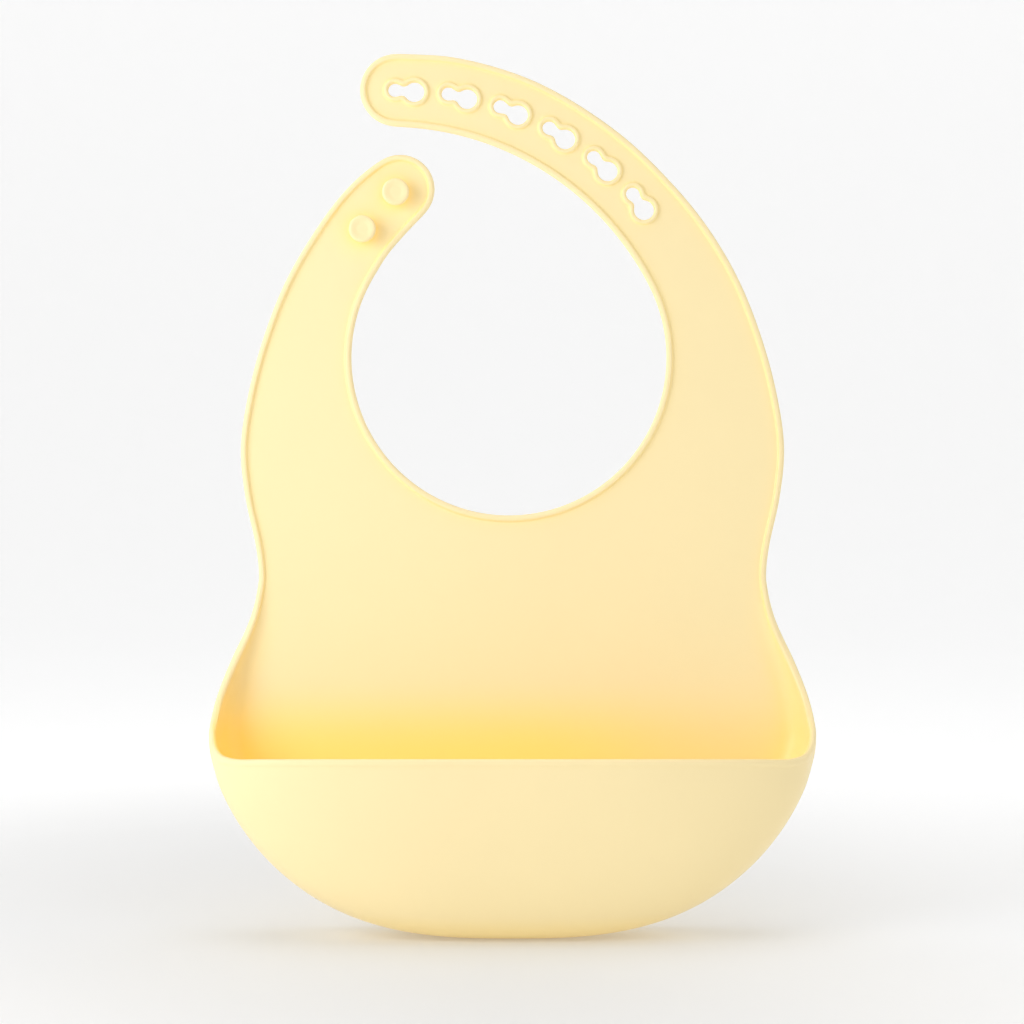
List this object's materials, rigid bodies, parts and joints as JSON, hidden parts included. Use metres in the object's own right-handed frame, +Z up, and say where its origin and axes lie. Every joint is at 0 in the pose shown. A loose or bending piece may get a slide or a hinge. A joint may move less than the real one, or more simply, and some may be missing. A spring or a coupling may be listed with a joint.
{
  "type": "silicone bib",
  "caption": "Soft silicone baby bib with a deep crumb catcher, a flat chest panel and two neck straps that button together with studs in keyholes.",
  "frame": {"origin": "centre of the round neck opening, on the plane of the flat back", "axes": "+Z up from the catcher to the straps, -Y out of the front of the bib, +X to the right seen from the front (the long strap's side)"},
  "size_m": [0.2144, 0.0473, 0.3132],
  "materials": {
    "silicone": "soft matte pale yellow food-grade silicone, slightly translucent"
  },
  "bodies": {
    "chest": {"chest_panel": "silicone"},
    "lower": {"lower_panel": "silicone", "catcher_tray": "silicone"},
    "catcher_front": {"catcher_front_wall": "silicone"},
    "short_strap": {"short_strap": "silicone"},
    "short_tab": {"short_strap_tab": "silicone", "tab_stud_upper": "silicone", "tab_stud_lower": "silicone"},
    "long_root": {"long_strap_root": "silicone"},
    "long_middle": {"long_strap_middle": "silicone"},
    "long_tip": {"long_strap_tip": "silicone"}
  },
  "joints": [
    {"name": "short_strap_flex", "type": "hinge", "parent": "chest", "child": "short_strap", "pos_m": [0.0013, 0, 0.004], "axis": [-1, 0, 0], "range_deg": [0, 80], "stiffness_Nm_per_rad": 0.05},
    {"name": "short_tab_curl", "type": "hinge", "parent": "short_strap", "child": "short_tab", "pos_m": [-0.0737, 0, 0.03], "axis": [-0.7986, 0, 0.6018], "range_deg": [0, 35], "stiffness_Nm_per_rad": 0.02},
    {"name": "long_strap_flex", "type": "hinge", "parent": "chest", "child": "long_root", "pos_m": [0.0013, 0, 0.004], "axis": [-1, 0, 0], "range_deg": [0, 80], "stiffness_Nm_per_rad": 0.05},
    {"name": "long_middle_curl", "type": "hinge", "parent": "long_root", "child": "long_middle", "pos_m": [0.0586, 0, 0.0402], "axis": [-0.8387, 0, -0.5446], "range_deg": [0, 36], "stiffness_Nm_per_rad": 0.02},
    {"name": "long_tip_curl", "type": "hinge", "parent": "long_middle", "child": "long_tip", "pos_m": [0.0097, 0, 0.085], "axis": [-0.4242, 0, -0.9056], "range_deg": [0, 36], "stiffness_Nm_per_rad": 0.02},
    {"name": "waist_fold", "type": "hinge", "parent": "chest", "child": "lower", "pos_m": [0.0013, -0.0033, -0.078], "axis": [-1, 0, 0], "range_deg": [0, 90], "stiffness_Nm_per_rad": 0.05},
    {"name": "catcher_front_flex", "type": "hinge", "parent": "lower", "child": "catcher_front", "pos_m": [0.0013, -0.037, -0.1908], "axis": [1, 0, 0], "range_deg": [-20, 20], "stiffness_Nm_per_rad": 0.15}
  ],
  "couplings": [
    {"joint": "short_tab_curl", "follows": "short_strap_flex", "ratio": 0.4},
    {"joint": "long_middle_curl", "follows": "long_strap_flex", "ratio": 0.44},
    {"joint": "long_tip_curl", "follows": "long_strap_flex", "ratio": 0.44}
  ]
}
